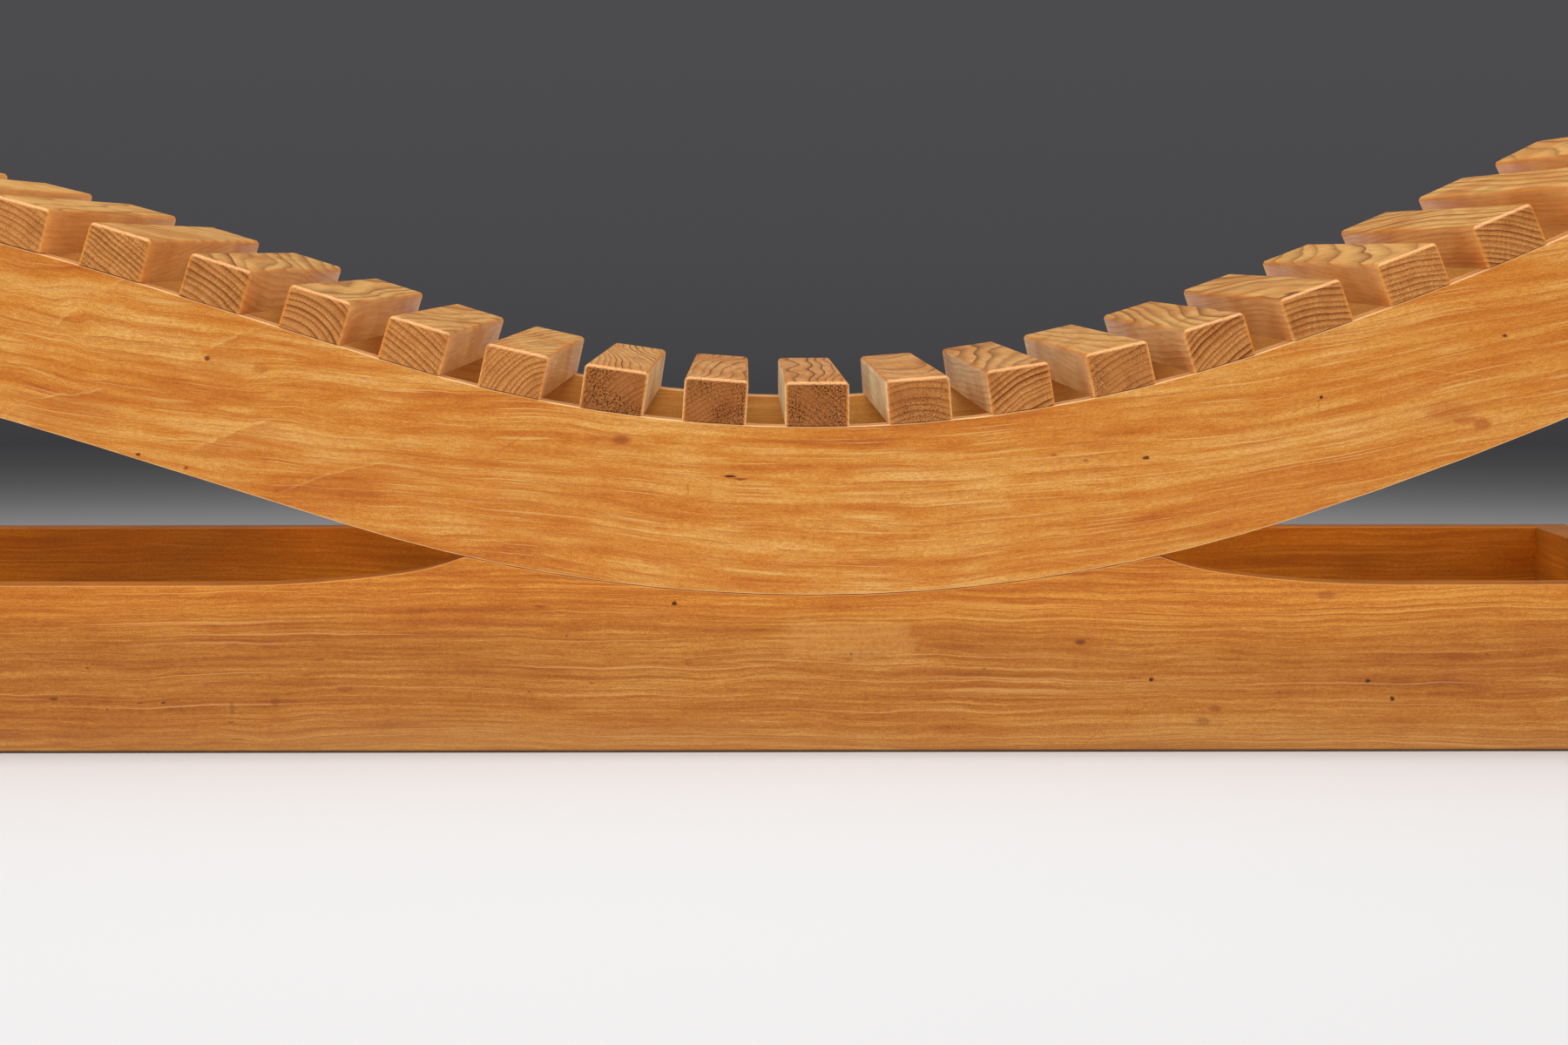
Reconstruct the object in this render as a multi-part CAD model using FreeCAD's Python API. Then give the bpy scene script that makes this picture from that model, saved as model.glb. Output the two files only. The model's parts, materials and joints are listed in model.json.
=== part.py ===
# Slatted wooden lounge chair: a wave-shaped seat that lies in the saddle of a low base frame.
# Millimetres, +Z up, +X towards the head end, -Y on the sitter's left.
# Every piece is modelled about the middle of the saddle and then moved along X, so that the
# origin ends up on the floor under the middle of the whole chair.

import FreeCAD, Part
import math
import os

Vector = FreeCAD.Vector

# Whole chair
chair_width = 600.0
board_thickness = 36.0
board_round = 1.0

# Base frame
base_height = 120.0
base_reach_head = 671.0
base_reach_foot = 800.0
base_corner_round = 5.0
end_board_thickness = 36.0

# Saddle and horns in the top edge of each base rail
saddle_sink = 7.2
saddle_half_span = 248.0
saddle_clearance = 0.3
horn_long_radius = 900.0
horn_short_radius = 190.0
horn_slope_change = math.radians(8.0)
horn_tip_round = 3.0

# Seat rails: a trough arc that lies in the saddle, then one stretch to the head and two to the foot
rail_depth = 120.0
trough_radius = 995.0
trough_angle_head = math.radians(18.0)
trough_angle_foot = math.radians(17.5)
head_radius = 2460.0
foot_straight = 185.0
foot_radius = 2510.0
rail_end_overhang = 18.0
rail_end_round = 14.0

# Slats
slat_width = 45.5
slat_height = 32.0
slat_pitch = 73.75
slat_offset = 3.5
slats_each_side = 13
slat_top_round = 3.5
slat_end_round = 3.0
slat_lower_round = 0.6
slat_bed_gap = 0.03

# Dowels in the slat ends and in the corners of the base
dowel_diameter = 10.0
dowel_fit = 0.1
hole_end_gap = 1.0
dowel_chamfer = 1.0
slat_dowel_length = 50.0
slat_dowel_in_slat = 20.0
corner_dowel_length = 60.0
corner_dowel_in_rail = 24.0
corner_dowel_inset = 30.0

# Cleats behind the saddle, and their screws
guide_length = 300.0
guide_thickness = 18.0
guide_lap = 25.0
guide_grip = 45.0
guide_clearance = 1.0
guide_round = 2.0
screw_diameter = 4.5
screw_head_diameter = 9.0
screw_length = 35.0
screw_point_length = 5.0
screw_point_diameter = 1.0
screw_fit = 0.15
screw_pitch = 110.0
screw_slot_length = 5.0
screw_slot_width = 1.0
screw_slot_depth = 1.4

# Two places closer than this are the same place
same_place = 0.01

# Places that follow from these sizes
outer_face = chair_width / 2
inner_face = outer_face - board_thickness
rail_middle = outer_face - board_thickness / 2
saddle_bottom = base_height - saddle_sink
belly_bottom = saddle_bottom + saddle_clearance
belly_radius = trough_radius + rail_depth
saddle_radius = belly_radius + saddle_clearance
pivot_height = belly_bottom + belly_radius
trough_top = belly_bottom + rail_depth
slat_places = [step * slat_pitch + slat_offset for step in range(-slats_each_side, slats_each_side + 1)]
rail_beyond_slat = slat_width / 2 + rail_end_overhang
head_reach = slat_places[-1] + rail_beyond_slat
foot_reach = rail_beyond_slat - slat_places[0]

# Stretches of the rail's top edge from the trough outwards: length and bend (1 / radius, plus curls up)
head_stretches = [
    (trough_radius * trough_angle_head, 1 / trough_radius),
    (head_reach - trough_radius * trough_angle_head, 1 / head_radius),
]
foot_stretches = [
    (trough_radius * trough_angle_foot, 1 / trough_radius),
    (foot_straight, 0.0),
    (foot_reach - trough_radius * trough_angle_foot - foot_straight, -1 / foot_radius),
]


def walk(place, above=0.0):
    """Point in the XZ plane, slope and bend at a place along the rail's top edge.

    The place is a length from the trough's lowest point, plus towards the head.
    A point above (or, with minus, below) the edge lies on the normal there.
    """
    side = 1 if place >= 0 else -1
    left = abs(place)
    out, up, slope, bend = 0.0, trough_top, 0.0, 0.0
    for length, bend in head_stretches if side > 0 else foot_stretches:
        step = min(left, length)
        turned = slope + step * bend
        if bend:
            out += (math.sin(turned) - math.sin(slope)) / bend
            up += (math.cos(slope) - math.cos(turned)) / bend
        else:
            out += step * math.cos(slope)
            up += step * math.sin(slope)
        slope = turned
        left -= step
        if left <= 0:
            break
    x = side * (out - above * math.sin(slope))
    z = up + above * math.cos(slope)
    return Vector(x, 0, z), side * slope, bend


def rail_edges(above):
    """Edges along the whole rail at one height above its top edge, from the foot end to the head end."""
    stops = [0.0]
    for length, bend in head_stretches:
        stops.append(stops[-1] + length)
    for length, bend in foot_stretches:
        stops.insert(0, stops[0] - length)
    edges = []
    for start, end in zip(stops, stops[1:]):
        middle = (start + end) / 2
        first, centre, last = (walk(place, above)[0] for place in (start, middle, end))
        if walk(middle)[2]:
            edges.append(Part.Arc(first, centre, last).toShape())
        else:
            edges.append(Part.makeLine(first, last))
    return edges


def board(edges, near_face, far_face):
    """Solid between two Y planes with this closed outline."""
    outline = Part.Wire(Part.__sortEdges__(edges))
    solid = Part.Face(outline).extrude(Vector(0, far_face - near_face, 0))
    solid.translate(Vector(0, near_face, 0))
    return solid


def round_corners(solid, corners, radius):
    """Rounds the edges that run across the thickness at these corners of the outline."""
    chosen = []
    for edge in solid.Edges:
        box = edge.BoundBox
        across = max(box.XLength, box.ZLength) < same_place
        if across and any(math.hypot(box.Center.x - c.x, box.Center.z - c.z) < same_place for c in corners):
            chosen.append(edge)
    return solid.makeFillet(radius, chosen)


def ease_faces(solid, radius):
    """Eases every arris of the two flat faces that lie in Y planes."""
    return solid.makeFillet(radius, [edge for edge in solid.Edges if edge.BoundBox.YLength < same_place])


def peg(diameter, length, chamfer, start, direction):
    """Round dowel with chamfered ends."""
    pin = Part.makeCylinder(diameter / 2, length, start, direction)
    return pin.makeChamfer(chamfer, [edge for edge in pin.Edges if edge.Closed])


def mirrored(solid):
    """The same piece on the other side of the chair."""
    return solid.mirror(Vector(0, 0, 0), Vector(0, 1, 0))


def slat_frame(place):
    """Where a slat sits on the rails: middle of its underside, the outward normal, and its slope."""
    point, slope, bend = walk(place)
    half_bed = slat_width / 2 - slat_lower_round
    bends = [walk(place + shift)[2] for shift in (-half_bed, 0.0, half_bed)]
    hollow = max(max(bends), 0.0)
    rise = (1 - math.sqrt(1 - (half_bed * hollow) ** 2)) / hollow if hollow else 0.0
    normal = Vector(-math.sin(slope), 0, math.cos(slope))
    return point + normal * (rise + slat_bed_gap), normal, slope


def slat_dowel_ends(place):
    """Lower end and direction of the dowel axis at a slat, in the plane Y = 0."""
    seat, normal, slope = slat_frame(place)
    return seat - normal * (slat_dowel_length - slat_dowel_in_slat), normal


def plain_slat():
    """One slat, its underside centred on the origin."""
    solid = Part.makeBox(slat_width, chair_width, slat_height, Vector(-slat_width / 2, -outer_face, 0))
    along = [edge for edge in solid.Edges if edge.BoundBox.YLength > chair_width / 2]
    upper = [edge for edge in along if edge.BoundBox.Center.z > slat_height / 2]
    solid = solid.makeFillet(slat_top_round, upper)
    at_ends = [edge for edge in solid.Edges if edge.BoundBox.YLength < same_place]
    solid = solid.makeFillet(slat_end_round, [edge for edge in at_ends if edge.BoundBox.ZMax > same_place])
    below = [edge for edge in solid.Edges if edge.BoundBox.ZMax < same_place]
    solid = solid.makeFillet(slat_lower_round, below)
    hole_radius = dowel_diameter / 2 + dowel_fit
    hole_depth = slat_dowel_in_slat + hole_end_gap
    holes = [
        Part.makeCylinder(hole_radius, hole_depth, Vector(0, side * rail_middle, 0))
        for side in (-1, 1)
    ]
    return solid.cut(holes)


def slat(blank, place):
    """A slat set on the rails at this place along their top edges."""
    seat, normal, slope = slat_frame(place)
    piece = blank.copy()
    piece.rotate(Vector(0, 0, 0), Vector(0, 1, 0), -math.degrees(slope))
    piece.translate(seat)
    return piece


def seat_rail():
    """Left side rail of the seat, with a dowel hole under each slat."""
    top = rail_edges(0.0)
    underside = rail_edges(-rail_depth)
    ends = [
        Part.makeLine(walk(reach)[0], walk(reach, -rail_depth)[0])
        for reach in (-foot_reach, head_reach)
    ]
    corners = [walk(reach, above)[0] for reach in (-foot_reach, head_reach) for above in (0.0, -rail_depth)]
    solid = board(top + underside + ends, -outer_face, -inner_face)
    solid = round_corners(solid, corners, rail_end_round)
    solid = ease_faces(solid, board_round)
    holes = []
    for place in slat_places:
        low, normal = slat_dowel_ends(place)
        start = low - normal * hole_end_gap + Vector(0, -rail_middle, 0)
        depth = slat_dowel_length + hole_end_gap
        holes.append(Part.makeCylinder(dowel_diameter / 2 + dowel_fit, depth, start, normal))
    return solid.cut(holes)


def slat_dowels():
    """Dowels of the left slat ends, as one group."""
    pins = []
    for place in slat_places:
        low, normal = slat_dowel_ends(place)
        start = low + Vector(0, -rail_middle, 0)
        pins.append(peg(dowel_diameter, slat_dowel_length, dowel_chamfer, start, normal))
    return Part.makeCompound(pins)


def horn_edges(side):
    """Outer flank of one horn: a tight arc down from the tip, then a long arc out to the level edge."""
    tip = Vector(saddle_half_span, 0, pivot_height - math.sqrt(saddle_radius ** 2 - saddle_half_span ** 2))
    long_rise = horn_long_radius * (1 - math.cos(horn_slope_change))
    tip_cosine = math.cos(horn_slope_change) - (tip.z - base_height - long_rise) / horn_short_radius
    tip_slope = math.acos(tip_cosine)
    short_centre = tip + Vector(math.sin(tip_slope), 0, math.cos(tip_slope)) * horn_short_radius
    long_centre_x = short_centre.x + (horn_long_radius - horn_short_radius) * math.sin(horn_slope_change)
    long_centre = Vector(long_centre_x, 0, base_height + horn_long_radius)

    def flank(centre, radius, slope):
        point = centre - Vector(math.sin(slope), 0, math.cos(slope)) * radius
        return Vector(side * point.x, 0, point.z)

    middle_short = (tip_slope + horn_slope_change) / 2
    top = flank(short_centre, horn_short_radius, tip_slope)
    turn = flank(short_centre, horn_short_radius, horn_slope_change)
    foot = flank(long_centre, horn_long_radius, 0.0)
    short_arc = Part.Arc(top, flank(short_centre, horn_short_radius, middle_short), turn)
    long_arc = Part.Arc(turn, flank(long_centre, horn_long_radius, horn_slope_change / 2), foot)
    return [short_arc.toShape(), long_arc.toShape()], top, foot


def corner_dowel_frames():
    """Start in the left rail and height of each corner dowel, for both ends of the base."""
    frames = []
    for outer, inwards in ((base_reach_head, -1), (-base_reach_foot, 1)):
        x = outer + inwards * end_board_thickness / 2
        for z in (corner_dowel_inset, base_height - corner_dowel_inset):
            frames.append(Vector(x, -inner_face - corner_dowel_in_rail, z))
    return frames


def corner_holes():
    """Holes for the left corner dowels, through the joint into both boards."""
    radius = dowel_diameter / 2 + dowel_fit
    depth = corner_dowel_length + 2 * hole_end_gap
    gap = Vector(0, hole_end_gap, 0)
    return [
        Part.makeCylinder(radius, depth, start - gap, Vector(0, 1, 0))
        for start in corner_dowel_frames()
    ]


def corner_dowels():
    """Dowels of all four corners, as one group."""
    left = [
        peg(dowel_diameter, corner_dowel_length, dowel_chamfer, start, Vector(0, 1, 0))
        for start in corner_dowel_frames()
    ]
    return Part.makeCompound(left + [mirrored(pin) for pin in left])


def guide_screw_heads():
    """Middle of each screw head on the face of the left cleat."""
    height = saddle_bottom - board_round - guide_grip / 2
    face = -inner_face + guide_thickness
    return [Vector(step * screw_pitch, face, height) for step in (-1, 0, 1)]


def screw_body(head, fit, length):
    """Countersunk screw without its slot, or its hole with room all round, going in from the head."""
    into = Vector(0, -1, 0)
    radius = screw_diameter / 2 + fit
    head_radius = screw_head_diameter / 2 + fit
    point_radius = screw_point_diameter / 2 + fit
    shank_end = head + into * (length - screw_point_length)
    cone = Part.makeCone(head_radius, radius, head_radius - radius, head, into)
    shank = Part.makeCylinder(radius, length - screw_point_length, head, into)
    point = Part.makeCone(radius, point_radius, screw_point_length, shank_end, into)
    return cone.fuse([shank, point]).removeSplitter()


def guide_screw_holes():
    """Countersunk holes for the left cleat's screws."""
    return [screw_body(head, screw_fit, screw_length + hole_end_gap) for head in guide_screw_heads()]


def guide_screws():
    """Screws of both cleats, as one group."""
    left = []
    for head in guide_screw_heads():
        body = screw_body(head, 0.0, screw_length)
        low = head - Vector(screw_slot_width / 2, screw_slot_depth, screw_slot_length / 2)
        upright = Part.makeBox(screw_slot_width, screw_slot_depth, screw_slot_length, low)
        low = head - Vector(screw_slot_length / 2, screw_slot_depth, screw_slot_width / 2)
        level = Part.makeBox(screw_slot_length, screw_slot_depth, screw_slot_width, low)
        left.append(body.cut([upright, level]))
    return Part.makeCompound(left + [mirrored(screw) for screw in left])


def base_rail():
    """Left side rail of the base, with the saddle, its horns and the hidden holes."""
    head_horn, head_tip, head_foot = horn_edges(1)
    foot_horn, foot_tip, foot_foot = horn_edges(-1)
    saddle = Part.Arc(foot_tip, Vector(0, 0, saddle_bottom), head_tip).toShape()
    corners = [
        Vector(base_reach_head, 0, base_height),
        Vector(base_reach_head, 0, 0),
        Vector(-base_reach_foot, 0, 0),
        Vector(-base_reach_foot, 0, base_height),
    ]
    points = [head_foot] + corners + [foot_foot]
    level = [Part.makeLine(start, end) for start, end in zip(points, points[1:])]
    solid = board(head_horn + foot_horn + [saddle] + level, -outer_face, -inner_face)
    solid = round_corners(solid, corners, base_corner_round)
    solid = round_corners(solid, [head_tip, foot_tip], horn_tip_round)
    solid = ease_faces(solid, board_round)
    return solid.cut(corner_holes() + guide_screw_holes())


def base_end(outer, inwards):
    """Cross board of the base between the rails, its outer face at this X."""
    low_x = min(outer, outer + inwards * end_board_thickness)
    solid = Part.makeBox(end_board_thickness, 2 * inner_face, base_height, Vector(low_x, -inner_face, 0))
    along = [edge for edge in solid.Edges if edge.BoundBox.YLength > inner_face]
    solid = solid.makeFillet(board_round, along)
    holes = corner_holes()
    return solid.cut(holes + [mirrored(hole) for hole in holes])


def saddle_guide():
    """Left cleat: screwed to the base rail, planed back where it laps behind the seat rail."""
    relief = saddle_bottom - board_round
    low = Vector(-guide_length / 2, -inner_face, relief - guide_grip)
    height = guide_grip + board_round + guide_lap
    solid = Part.makeBox(guide_length, guide_thickness, height, low)
    face = -inner_face + guide_thickness
    shown = [edge for edge in solid.Edges if edge.BoundBox.YMin > face - same_place]
    solid = solid.makeFillet(guide_round, shown)
    lap = Vector(-guide_length / 2, -inner_face, relief)
    planed = Part.makeBox(guide_length, guide_clearance, guide_lap + board_round, lap)
    return solid.cut([planed] + guide_screw_holes())


def build():
    """All nodes by name, about the middle of the saddle."""
    nodes = {}
    blank = plain_slat()
    for number, place in enumerate(slat_places, start=1):
        nodes[f"slat_{number:02d}"] = slat(blank, place)
    pairs = {
        "seat_rail": seat_rail(),
        "slat_dowels": slat_dowels(),
        "base_rail": base_rail(),
        "saddle_guide": saddle_guide(),
    }
    for name, piece in pairs.items():
        nodes[f"{name}_left"] = piece
        nodes[f"{name}_right"] = mirrored(piece)
    nodes["base_end_head"] = base_end(base_reach_head, -1)
    nodes["base_end_foot"] = base_end(-base_reach_foot, 1)
    nodes["base_dowels"] = corner_dowels()
    nodes["guide_screws"] = guide_screws()
    return nodes


def main():
    nodes = build()
    box = FreeCAD.BoundBox()
    for piece in nodes.values():
        box.add(piece.optimalBoundingBox(False, False))
    saddle_x = -box.Center.x
    os.makedirs("parts", exist_ok=True)
    for name, piece in nodes.items():
        piece.translate(Vector(saddle_x, 0, 0))
        piece.exportStep(f"parts/{name}.step")
        if not piece.isValid():
            print("not valid:", name)
    print("nodes:", len(nodes))
    print("length, width, height:", round(box.XLength, 2), round(box.YLength, 2), round(box.ZLength, 2))
    print("saddle middle at X:", round(saddle_x, 3))
    print("tilt axis height:", round(pivot_height, 3))
    print("base from X", round(saddle_x - base_reach_foot, 3), "to", round(saddle_x + base_reach_head, 3))
    print("slope at head and foot ends, degrees:",
          round(math.degrees(walk(head_reach)[1]), 2), round(math.degrees(walk(-foot_reach)[1]), 2))
    horn_angle = math.degrees(math.asin(saddle_half_span / saddle_radius))
    print("horn tips at degrees:", round(horn_angle, 2))
    print("tilt room, sit up and recline, degrees:",
          round(math.degrees(trough_angle_foot) - horn_angle, 2),
          round(math.degrees(trough_angle_head) - horn_angle, 2))


main()
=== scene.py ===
# Looks of the slatted wooden lounge chair: lacquered pine boards, beech dowels and steel screws on the packed
# pieces, a pale floor, soft studio light and the photograph's camera. Metres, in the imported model's frame.

import json
import math

import bpy
from mathutils import Euler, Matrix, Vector


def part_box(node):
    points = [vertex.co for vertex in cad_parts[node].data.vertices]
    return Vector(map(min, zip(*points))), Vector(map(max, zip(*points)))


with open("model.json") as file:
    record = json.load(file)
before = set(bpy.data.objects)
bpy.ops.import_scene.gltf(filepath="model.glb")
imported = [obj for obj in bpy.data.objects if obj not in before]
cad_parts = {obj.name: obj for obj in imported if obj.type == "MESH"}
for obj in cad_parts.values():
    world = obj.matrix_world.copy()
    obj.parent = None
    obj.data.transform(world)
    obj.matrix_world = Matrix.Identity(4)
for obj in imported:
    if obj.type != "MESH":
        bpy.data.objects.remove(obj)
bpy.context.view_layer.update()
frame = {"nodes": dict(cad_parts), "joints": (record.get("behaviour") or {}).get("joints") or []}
nodes = frame["nodes"]


def srgb(red, green, blue):
    """A colour written as it shows, 0 to 255, as linear RGBA."""
    def linear(level):
        share = level / 255
        return share / 12.92 if share <= 0.04045 else ((share + 0.055) / 1.055) ** 2.4
    return (linear(red), linear(green), linear(blue), 1.0)


MM_PER_M = 1000

# Camera of the photograph
LENS_MM = 87.08
SENSOR_MM = 36.0
CAMERA_PLACE = Vector((-0.0503, -2.9959, 0.3586))
CAMERA_PITCH = 0.0717
CAMERA_YAW = 0.0102

# Lamps: name, place, the point that it faces, width and height in metres, power in watts
SOFTBOXES = [
    ("overhead", (0.0, -0.25, 2.3), (0.0, 0.0, 0.25), 2.6, 0.7, 24.0),
    ("front", (-0.6, -2.9, 2.6), (0.0, 0.0, 0.2), 3.4, 1.6, 44.0),
]

# Floor: a disc that fades out between two distances from its middle
FLOOR_MIDDLE = (0.0, -0.4, 0.0)
FLOOR_RADIUS = 3.4
FLOOR_CORNERS = 128
FLOOR_FADE_START = 1.45
FLOOR_FADE_END = 2.4
FLOOR_COLOUR = (0.72, 0.715, 0.71, 1.0)

# Backdrop: its grey levels run from the lowest to the highest rise of a direction, and its tint changes once
BACKDROP_LOWEST = -0.2
BACKDROP_HIGHEST = 0.2
BACKDROP_LEVELS = [
    (0.0, 0.62), (0.26, 0.5), (0.323, 0.225), (0.338, 0.133), (0.35, 0.086), (0.361, 0.061), (0.375, 0.044),
    (0.435, 0.060), (0.5, 0.067), (0.66, 0.073), (1.0, 0.075),
]
TINT_CHANGE_START = -0.06
TINT_CHANGE_END = -0.045
LOWER_TINT = (1.0, 0.98, 0.985, 1.0)
UPPER_TINT = (1.0, 0.965, 1.05, 1.0)
AMBIENT_LIGHT = (0.68, 0.68, 0.69, 1.0)

# Places read from the frame
TILT_JOINT = frame["joints"][0]
SADDLE_X = TILT_JOINT["pos_m"][0]
SLAT_NAMES = sorted(name for name in nodes if name.removeprefix("slat_").isdigit())
SLAT_CENTRES = [(Vector(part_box(name)[0]) + Vector(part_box(name)[1])) / 2 for name in SLAT_NAMES]
OUTER_FACE = -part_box("seat_rail_left")[0].y
RAIL_MIDDLE = (OUTER_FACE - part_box("seat_rail_left")[1].y) / 2
BASE_MIDDLE = (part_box("base_end_foot")[0].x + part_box("base_end_head")[1].x) / 2
BASE_HALF = (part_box("base_end_head")[1].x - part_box("base_end_foot")[0].x) / 2

# The slat at the bottom of the trough, and how many slats from it the sides have lost half their paleness,
# which is painted light
TROUGH_SLAT = min(range(len(SLAT_CENTRES)), key=lambda index: SLAT_CENTRES[index].z)
PALE_SLATS = 2.4

# Where the heart of the tree lay beside each slat: direction in degrees as seen from the left side (0 towards
# the head, 90 up), distance from the middle and ring spacing in millimetres, and the strength of the rings
SLAT_HEARTS = [
    (230, 70, 4.4, 0.8), (300, 85, 4.0, 0.7), (250, 60, 4.6, 0.8), (120, 75, 4.2, 0.7),
    (262, 110, 4.4, 0.75), (240, 120, 4.0, 0.8), (230, 140, 3.6, 0.9), (232, 160, 4.6, 1.0),
    (225, 45, 4.8, 0.9), (232, 130, 4.2, 0.9), (305, 50, 3.6, 0.8), (310, 60, 3.2, 0.6),
    (292, 90, 3.0, 0.6), (245, 70, 3.4, 0.6), (270, 45, 5.0, 0.7), (295, 110, 4.2, 1.0),
    (305, 100, 4.4, 0.7), (315, 100, 4.0, 1.0), (277, 150, 4.4, 1.0), (278, 120, 4.0, 0.9),
    (268, 120, 3.8, 1.0), (266, 120, 4.4, 0.9), (280, 90, 4.2, 0.8), (120, 70, 4.0, 0.8),
    (250, 85, 4.4, 0.7), (230, 60, 4.2, 0.8), (318, 100, 4.2, 0.8),
]

# How far a slat's grain is tilted against it, and how tilts and noises vary from slat to slat
HEART_TILT = 0.035
TILT_STEP_X = 2.4
TILT_STEP_Z = 1.7
SEED_STEP = 0.7

# How far small bends and a slow wander move the rings of a slat
RING_SWAY = (0.007, 0.0, 0.007)
RING_WANDER = 0.014

# Colours of the slats' long faces, each away from the trough and in it
SLAT_TOPS = (srgb(238, 180, 98), srgb(224, 160, 94))
# The sides are painted paler than the tops, most of all in the trough, as painted light that they catch
SLAT_SIDES_PAINTED_LIGHT = (srgb(236, 170, 88), srgb(255, 240, 198))
SLAT_LINES = (srgb(138, 70, 18), srgb(118, 66, 30))
SLAT_CLOUD = srgb(208, 124, 44)
SLAT_SMOKE = srgb(150, 92, 46)

# Colours of the slats' end grain, where early wood is darker between faint rings, and of their arrises
END_EARLY = (srgb(203, 135, 70), srgb(166, 102, 50))
END_LATE = srgb(98, 36, 4)
END_SMOKE = srgb(140, 72, 24)
ARRIS_AMBER = srgb(218, 128, 36)
# Pale over the ends: partly rubbed wood, partly a painted highlight
ARRIS_RUBBED_AND_HIGHLIGHT = srgb(240, 186, 130)
# Painted shade in the groove where a slat's end meets the rail
GROOVE_PAINTED_SHADE = srgb(70, 36, 14)

# Dark and pale flecks of the dowels' beech and of the screws' steel
BEECH = (srgb(196, 150, 104), srgb(222, 182, 136))
STEEL = (srgb(150, 150, 152), srgb(196, 196, 198))

# Lacquer: gloss of the wood, weight and roughness of the clear coat, and depth of the relief under it
BOARD_GLOSS = 0.32
BOARD_COAT = 0.1
SLAT_GLOSS = 0.04
SLAT_COAT = 0.22
COAT_ROUGHNESS = 0.24
BOARD_RELIEF = 0.0002
SLAT_RELIEF = 0.00025
DOWEL_RELIEF = 0.0001

# How strongly a darker patch of pine loses red, green and blue, and what cut ends and untouched wood keep
STAIN_SHARES = (0.5, 1.0, 1.4)
CUT_END_TINT = (0.7, 0.6, 0.5, 1.0)
NO_TINT = (1.0, 1.0, 1.0, 1.0)

# Knots and dents, and a painted contact shadow along the foot of the base
KNOT_RED = srgb(176, 78, 8)
DENT_BROWN = srgb(136, 64, 14)
KNOT_BROWN = srgb(78, 36, 12)
CONTACT_SHADOW = srgb(44, 28, 16)
CONTACT_SHADOW_TOP = 0.0030
CONTACT_SHADOW_FULL = 0.0008
MARK_DEPTH = 0.004
MARK_RAGGEDNESS = (0.003, 0.0, 0.002)

# Marks on the near faces: place along and up, half length and half height in millimetres, and darkness
SEAT_MARKS = [
    (-432, 282, 3.0, 2.5, 0.7), (-394, 275, 8.0, 5.0, 0.35), (-376, 293, 6.0, 3.0, 0.25),
    (-448, 204, 2.5, 2.0, 0.6), (-482, 214, 3.0, 1.8, 0.7), (-139, 224, 10.0, 5.0, 0.55),
    (-154, 225, 14.0, 3.0, 0.3), (-61, 198, 6.5, 1.4, 0.8), (-54, 196, 8.0, 1.0, 0.6),
    (169, 213, 3.0, 1.4, 0.5), (192, 209, 3.5, 1.8, 0.5), (235, 211, 3.5, 2.0, 0.7),
    (360, 254, 2.2, 1.8, 0.8), (358, 249, 0.8, 6.0, 0.4), (490, 298, 2.6, 1.8, 0.7),
    (475, 235, 9.0, 5.5, 0.5), (462, 238, 14.0, 4.0, 0.4), (452, 244, 26.0, 10.0, 0.3),
    (-91, 190, 0.6, 6.0, 0.5), (-209, 140, 3.0, 2.0, 0.4),
]
BASE_MARKS = [
    (-101, 107, 2.4, 2.2, 0.95), (189, 79, 5.5, 3.0, 0.6), (240, 52, 2.6, 2.4, 0.8),
    (228, 53, 8.0, 0.8, 0.5), (365, 113, 9.0, 4.0, 0.35), (395, 51, 3.6, 2.0, 0.75),
    (413, 38, 2.4, 2.6, 0.8), (-544, 39, 5.0, 1.6, 0.6), (-466, 36, 2.0, 1.2, 0.7),
    (-386, 37, 5.0, 3.5, 0.4), (-418, 22, 3.0, 1.0, 0.5), (-417, 32, 2.5, 6.0, 0.35),
    (-482, 36, 3.0, 1.0, 0.55), (-506, 31, 1.2, 2.0, 0.5), (-413, 10, 7.0, 0.7, 0.5),
    (-520, 61, 1.6, 0.8, 0.6), (-355, 67, 6.0, 1.4, 0.4), (-336, 46, 9.0, 3.0, 0.3),
    (-205, 44, 2.0, 0.9, 0.6), (-250, 30, 12.0, 0.8, 0.35), (480, 70, 2.0, 0.8, 0.5),
    (-178, 84, 1.6, 1.2, 0.5), (-197, 105, 8.0, 1.2, 0.5), (-91, 65, 4.0, 3.0, 0.3),
    (25, 71, 1.6, 1.4, 0.9), (30, 70, 34.0, 2.2, 0.35), (286, 31, 6.0, 3.0, 0.42),
    (277, 22, 8.0, 4.0, 0.42), (-160, 50, 3.0, 1.0, 0.5), (-60, 45, 5.0, 2.0, 0.3),
    (120, 60, 2.0, 1.0, 0.5),
]

# Boards: the palette runs from the darkest streak to the palest. Broad, streak, short, dark_streaks and lines
# are features per metre along the grain, through the board and across the grain, ring_spacing is in metres,
# and the plain numbers are strengths. Upward sets the painted sheen on upward faces, and below how far the
# downward arrises are paled, partly as wear and partly as a painted highlight.
SEAT_LOOK = {
    "palette": (
        srgb(186, 97, 20), srgb(206, 122, 34), srgb(215, 139, 50), srgb(226, 160, 74), srgb(234, 177, 98)),
    "broad": (3.0, 12.0, 26.0),
    "streak": (6.5, 40.0, 95.0),
    "short": (36.0, 90.0, 240.0),
    "dark_streaks": (3.2, 40.0, 170.0),
    "lines": (12.0, 120.0, 800.0),
    "ring_spacing": 0.009,
    "rings": 0.6,
    "grit": 1.2,
    "shorts": 0.25,
    "clouds": 0.26,
    "upward": 0.75,
    "below": 0.9,
    "hairline": srgb(238, 190, 116),
    # This colour is partly wear and a painted highlight on downward arrises, and a painted sheen on upward
    # faces
    "worn_and_sheen": srgb(252, 214, 154),
    "rubbed": srgb(244, 186, 110),
    "knot": KNOT_RED,
    "marks": SEAT_MARKS,
}
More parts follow.
